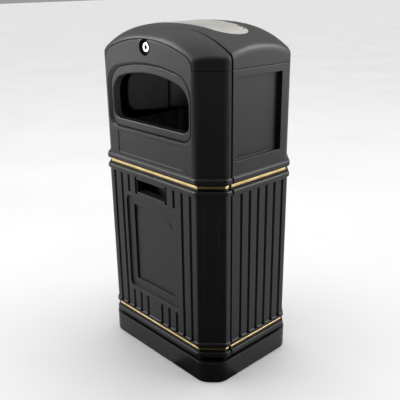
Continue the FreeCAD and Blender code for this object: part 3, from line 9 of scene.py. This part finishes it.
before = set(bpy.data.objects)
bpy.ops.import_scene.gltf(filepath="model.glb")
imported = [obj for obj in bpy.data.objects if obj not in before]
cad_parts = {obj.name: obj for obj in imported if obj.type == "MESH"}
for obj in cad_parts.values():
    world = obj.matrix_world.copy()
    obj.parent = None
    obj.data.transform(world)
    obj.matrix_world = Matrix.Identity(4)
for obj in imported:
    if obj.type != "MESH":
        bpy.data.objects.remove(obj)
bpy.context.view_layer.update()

MM = 0.001

# The band that a noise pattern's values fill, and how finely rounded edges are sampled.
NOISE_SPREAD = {"From Min": 0.3, "From Max": 0.7}
EDGE_SAMPLES = 6

# Each softbox: name, place, point it faces, width, height and power.
SOFTBOXES = [
    ("left_softbox", (-3.2, -2.9, 1.9), (0, 0, 0.6), 2.6, 3.0, 110),
    ("right_softbox", (3.2, 2.9, 1.9), (0, 0, 0.6), 2.6, 3.0, 105),
    ("high_left_softbox", (-2.6, -2.2, 3.6), (0, 0, 0.7), 1.8, 1.8, 150),
    ("high_back_softbox", (1.9, 2.6, 3.6), (0, 0, 0.7), 1.8, 1.8, 150),
]
TOP_LIGHT = ("top_light", (0.4, -0.4, 5.5), (0.4, -0.4, 0), 7, 7, 120)

# Narrow lamp that shines through the aperture: name, place, point it faces, cone in degrees, power, radius.
HOOD_LIGHT = ("hood_light", (1.3, -1.95, 1.12), (-0.3, 0.0, 1.06), 9, 1100, 0.06)

# Flat sheets: name, middle, half side and height.
FLOOR = ("floor", (0, 0), 40, 0)
BLACK_CARD = ("black_card", (3.05, -3.05), 2.95, 0.004)

# Brightness of the room, by the height of a direction and by how far it points to the front right corner.
FRONT_RIGHT = (0.7, -0.7, 0)
BY_HEIGHT = {"From Min": 0.4, "From Max": 0.75, "To Min": 0.66, "To Max": 1.8}
NEAR_CORNER = {"From Min": 0.0, "From Max": 0.6, "To Min": 1.0, "To Max": 0.04}
FAR_CORNER = {"From Min": -0.9, "From Max": -0.45, "To Min": 0.5, "To Max": 1.0}

# Camera: azimuth, elevation and roll in degrees, the point it looks at, distance, and how far it sees.
CAMERA_ANGLES = (47.18, 20.20, -0.755)
CAMERA_TARGET = (0.0167, 0.0, 0.6143)
CAMERA_DISTANCE = 2.395
CAMERA_REACH = 200
LENS_MM = 54.0
SENSOR_MM = 36.0


# ---- Node helpers --------------------------------------------------------------------------------
def linear(colour):
    """An sRGB hex value as linear red, green, blue and alpha."""
    channels = [int(colour[i:i + 2], 16) / 255 for i in (1, 3, 5)]
    return [c / 12.92 if c <= 0.04045 else ((c + 0.055) / 1.055) ** 2.4 for c in channels] + [1.0]


def add(tree, kind, settings=None, inputs=None):
    """Adds a node, sets its properties, and fills or links its sockets by name or number."""
    node = tree.nodes.new(kind)
    for name, value in (settings or {}).items():
        setattr(node, name, value)
    for socket, value in (inputs or {}).items():
        if isinstance(value, bpy.types.NodeSocket):
            tree.links.new(value, node.inputs[socket])
        else:
            node.inputs[socket].default_value = value
    return node


# ---- Finishes ------------------------------------------------------------------------------------
def finish_of(name, colours, roughness, patch_mm, grain_mm, relief_mm, metallic=0.0, stretch=(1, 1, 1),
              cells=False, edge_mm=0.0, specular=0.5):
    """A finish whose colour drifts between two hex values and whose gloss and relief follow a grain.

    The colour changes over patches of patch_mm, soft ones or, with cells, crystals with hard borders. The
    roughness goes between its two values, and the surface rises by relief_mm, over a grain of grain_mm, which
    stretch draws out along an axis. With edge_mm, sharp edges are shaded as if rounded by that radius.
    """
    material = bpy.data.materials.new(name)
    material.use_nodes = True
    tree = material.node_tree
    surface = tree.nodes["Principled BSDF"]
    surface.inputs["Metallic"].default_value = metallic
    surface.inputs["Specular IOR Level"].default_value = specular
    place = add(tree, "ShaderNodeTexCoord").outputs["Object"]
    if cells:
        crystals = add(tree, "ShaderNodeTexVoronoi", inputs={"Vector": place, "Scale": 1 / (patch_mm * MM)})
        channels = add(tree, "ShaderNodeSeparateColor", inputs={"Color": crystals.outputs["Color"]})
        tone = channels.outputs["Red"]
    else:
        clouds = {"Vector": place, "Scale": 1 / (patch_mm * MM), "Detail": 2.0}
        clouds = add(tree, "ShaderNodeTexNoise", inputs=clouds).outputs["Fac"]
        drift = {"Value": clouds, **NOISE_SPREAD}
        tone = add(tree, "ShaderNodeMapRange", inputs=drift).outputs["Result"]
    first, second = (linear(colour) for colour in colours)
    shade = add(tree, "ShaderNodeMix", {"data_type": "RGBA"}, {0: tone, 6: first, 7: second}).outputs[2]
    tree.links.new(shade, surface.inputs["Base Color"])
    drawn = add(tree, "ShaderNodeMapping", inputs={"Vector": place, "Scale": stretch}).outputs["Vector"]
    grain = {"Vector": drawn, "Scale": 1 / (grain_mm * MM), "Detail": 3.0, "Roughness": 0.65}
    grain = add(tree, "ShaderNodeTexNoise", inputs=grain).outputs["Fac"]
    gloss = {"Value": grain, **NOISE_SPREAD, "To Min": roughness[0], "To Max": roughness[1]}
    gloss = add(tree, "ShaderNodeMapRange", inputs=gloss).outputs["Result"]
    tree.links.new(gloss, surface.inputs["Roughness"])
    relief = {"Height": grain, "Distance": relief_mm * MM, "Strength": 1.0}
    if edge_mm:
        rounded = add(tree, "ShaderNodeBevel", {"samples": EDGE_SAMPLES}, {"Radius": edge_mm * MM})
        relief["Normal"] = rounded.outputs["Normal"]
    bumps = add(tree, "ShaderNodeBump", inputs=relief).outputs["Normal"]
    tree.links.new(bumps, surface.inputs["Normal"])
    return material


# Polyethylene from a spark-eroded mould: near-black and satin, with soft edges that catch the light. Its
# 0.6 mm grain is drawn at 2.8 mm, or it would vanish at this distance.
moulded_polyethylene = finish_of(
    "moulded_polyethylene", ("#101011", "#141415"), (0.36, 0.48), 130, 2.8, 0.6,
    edge_mm=4.0, specular=0.32)

# Extruded aluminium strip, gold anodised: a pale warm satin metal with faint lines along its length.
gold_anodised_aluminium = finish_of(
    "gold_anodised_aluminium", ("#dcc48e", "#c6ac70"), (0.26, 0.36), 30, 1.5, 0.02, 1.0, (0.05, 0.05, 1))

# Stainless sheet brushed left to right. Its 0.4 mm grit lines are drawn at 1.5 mm.
brushed_stainless = finish_of(
    "brushed_stainless", ("#e0ded8", "#d2d0ca"), (0.28, 0.42), 60, 1.5, 0.03, 1.0, (0.02, 1, 1))

# The same sheet with its mill finish, drawn front to back when the tray was folded.
rolled_stainless = finish_of(
    "rolled_stainless", ("#bdbab3", "#aaa7a0"), (0.24, 0.38), 60, 1.5, 0.03, 1.0, (1, 0.02, 1))

# Hot-dip galvanised sheet: grey zinc with 12 mm spangle, each crystal a little lighter or darker.
galvanised_sheet = finish_of(
    "galvanised_sheet", ("#8f9496", "#b7bbbb"), (0.34, 0.5), 12, 5, 0.1, 0.9, cells=True)

# Zinc-plated wire: bright, slightly uneven.
zinc_plated_wire = finish_of("zinc_plated_wire", ("#c4c7c8", "#a9adaf"), (0.2, 0.34), 6, 3, 0.02, 1.0)

# Zinc-plated screws, nuts and bolts: a plain grey-white metal.
zinc_plated_steel = finish_of("zinc_plated_steel", ("#b9bcbe", "#9da0a2"), (0.3, 0.42), 6, 3, 0.02, 1.0)

# Chromed brass: a mirror with the faint haze of years outdoors.
chromed_brass = finish_of("chromed_brass", ("#e3e4e6", "#cfd1d3"), (0.1, 0.2), 8, 4, 0.01, 1.0)

# Die-cast zinc, chemically blackened: dark and half shiny.
blackened_zinc = finish_of("blackened_zinc", ("#2a2a2b", "#202021"), (0.3, 0.42), 8, 3, 0.02, 0.8)

# Black polyester powder coat on steel, with an orange peel of about 2 mm.
powder_coated_steel = finish_of(
    "powder_coated_steel", ("#121213", "#1b1b1d"), (0.36, 0.46), 40, 2, 0.05)

# Grey concrete cast in a smooth form: mottled, matt, with small pits.
cast_concrete = finish_of("cast_concrete", ("#8b8880", "#aaa79d"), (0.8, 0.95), 35, 4, 0.6)

# Matt black rubber with a dusty bloom.
moulded_rubber = finish_of("moulded_rubber", ("#141414", "#2a2a2a"), (0.6, 0.8), 8, 3, 0.1)

# Black nylon, a little shinier than the rubber.
moulded_nylon = finish_of("moulded_nylon", ("#181818", "#222222"), (0.4, 0.55), 20, 2, 0.05)


def dress(names, material):
    """Gives CAD nodes a material."""
    for name in names:
        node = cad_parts[name]
        node.data.materials.clear()
        node.data.materials.append(material)


def dress_every_node():
    """Gives each CAD node the finish of the real piece."""
    dress(["rear_shell", "front_door", "plinth", "aperture_surround", "notice_plate"], moulded_polyethylene)
    strips = ["upper_strip_rear", "lower_strip_rear", "upper_strip_door", "lower_strip_door"]
    dress(strips, gold_anodised_aluminium)
    dress(["stubber_plate", "plate_screws"], brushed_stainless)
    dress(["ash_container"], rolled_stainless)
    dress(["floor_plate", "liner", "handle_brackets", "container_rails", "lock_strike"], galvanised_sheet)
    dress(["liner_handle_left", "liner_handle_right"], zinc_plated_wire)
    fixings = ["body_washers", "body_bolts", "hinge_frame_screws", "hinge_door_screws", "strike_screws"]
    fixings += ["rail_screws", "surround_screws", "bracket_rivets", "lock_nut", "cam_screw", "lock_cam"]
    dress(fixings, zinc_plated_steel)
    dress(["lock_housing"], chromed_brass)
    dress(["lock_barrel"], blackened_zinc)
    dress(["hinge_frame_leaves", "hinge_door_leaves", "hinge_pins"], powder_coated_steel)
    dress(["ballast_slab"], cast_concrete)
    dress(["door_buffers"], moulded_rubber)
    dress(["liner_blocks"], moulded_nylon)


# ---- Studio --------------------------------------------------------------------------------------
def stand_lamp(name, light, place, target):
    """Puts a light at place, turned to face target."""
    lamp = bpy.data.objects.new(name, light)
    lamp.location = place
    lamp.rotation_mode = "QUATERNION"
    lamp.rotation_quaternion = (Vector(target) - Vector(place)).to_track_quat("-Z", "Y")
    bpy.context.scene.collection.objects.link(lamp)
    return lamp


def area_light(name, place, target, width, height, power):
    """A rectangular softbox that faces target."""
    light = bpy.data.lights.new(name, "AREA")
    light.shape = "RECTANGLE"
    light.size, light.size_y, light.energy = width, height, power
    return stand_lamp(name, light, place, target)


def spot_light(name, place, target, cone_degrees, power, radius):
    """A narrow lamp with soft borders that faces target."""
    light = bpy.data.lights.new(name, "SPOT")
    light.energy, light.spot_size, light.spot_blend = power, math.radians(cone_degrees), 1.0
    light.shadow_soft_size = radius
    return stand_lamp(name, light, place, target)


def square_sheet(name, middle, half_side, z):
    """A flat square of the studio."""
    mesh = bpy.data.meshes.new(name)
    corners = np.array([(-1, -1), (1, -1), (1, 1), (-1, 1)]) * half_side + middle
    mesh.from_pydata(np.c_[corners, np.full(4, z)].tolist(), [], [(0, 1, 2, 3)])
    sheet = bpy.data.objects.new(name, mesh)
    bpy.context.scene.collection.objects.link(sheet)
    return sheet


def surroundings():
    """Pale room: bright overhead, softer at the horizon, dark towards the front right corner.

    Its brightness is a function of the direction's height times two functions of how far the direction points
    to the front right: one darkens that corner, the other dims the corner opposite. None of them follows the
    camera.
    """
    world = bpy.data.worlds.new("studio")
    world.use_nodes = True
    tree = world.node_tree
    direction = add(tree, "ShaderNodeTexCoord").outputs["Generated"]
    height = add(tree, "ShaderNodeSeparateXYZ", inputs={"Vector": direction}).outputs["Z"]
    upward = add(tree, "ShaderNodeMapRange", inputs={"Value": height, **BY_HEIGHT}).outputs["Result"]
    reach = add(tree, "ShaderNodeVectorMath", {"operation": "DOT_PRODUCT"}, {0: direction, 1: FRONT_RIGHT})
    reach = reach.outputs["Value"]
    near = add(tree, "ShaderNodeMapRange", inputs={"Value": reach, **NEAR_CORNER}).outputs["Result"]
    far = add(tree, "ShaderNodeMapRange", inputs={"Value": reach, **FAR_CORNER}).outputs["Result"]
    dimmed = add(tree, "ShaderNodeMath", {"operation": "MULTIPLY"}, {0: near, 1: far}).outputs["Value"]
    strength = add(tree, "ShaderNodeMath", {"operation": "MULTIPLY"}, {0: upward, 1: dimmed}).outputs["Value"]
    tree.links.new(strength, tree.nodes["Background"].inputs["Strength"])
    tree.nodes["Background"].inputs["Color"].default_value = (1, 1, 1, 1)
    bpy.context.scene.world = world


def studio():
    """Pale floor, softboxes, a light overhead, a lamp for the inside of the hood, and a black card.

    The softboxes give reflections and no diffuse light, so the floor stays even. The overhead light is the
    reverse: it lights the floor and is in no reflection. The card lies on the floor by the front right corner.
    It shows only in reflections, to keep the corner faces dark.
    """
    floor = square_sheet(*FLOOR)
    floor.data.materials.append(finish_of(
        "painted_studio_floor", ("#ebebeb", "#e6e6e6"), (0.85, 0.95), 900, 40, 0.1))
    card = square_sheet(*BLACK_CARD)
    card.data.materials.append(finish_of("black_felt", ("#050505", "#070707"), (0.95, 1.0), 50, 3, 0.1))
    card.visible_camera = card.visible_diffuse = card.visible_shadow = False
    surroundings()
    for softbox in SOFTBOXES:
        area_light(*softbox).visible_diffuse = False
    area_light(*TOP_LIGHT).visible_glossy = False
    spot_light(*HOOD_LIGHT).visible_glossy = False
    bpy.context.scene.view_settings.view_transform = "Standard"


# ---- Camera --------------------------------------------------------------------------------------
def camera():
    """Three-quarter view from the right front, a little above the hood."""
    azimuth, elevation, roll = (math.radians(angle) for angle in CAMERA_ANGLES)
    back = Vector((
        math.sin(azimuth) * math.cos(elevation),
        -math.cos(azimuth) * math.cos(elevation),
        math.sin(elevation),
    ))
    right = (-back).cross(Vector((0, 0, 1))).normalized()
    up = back.cross(right)
    tilted_right = right * math.cos(roll) + up * math.sin(roll)
    tilted_up = up * math.cos(roll) - right * math.sin(roll)
    data = bpy.data.cameras.new("camera")
    data.sensor_width, data.lens = SENSOR_MM, LENS_MM
    data.clip_end = CAMERA_REACH
    eye = bpy.data.objects.new("camera", data)
    turn = Matrix((tilted_right, tilted_up, back)).transposed().to_4x4()
    eye.matrix_world = Matrix.Translation(Vector(CAMERA_TARGET) + back * CAMERA_DISTANCE) @ turn
    bpy.context.scene.collection.objects.link(eye)
    bpy.context.scene.camera = eye


camera()
studio()
dress_every_node()
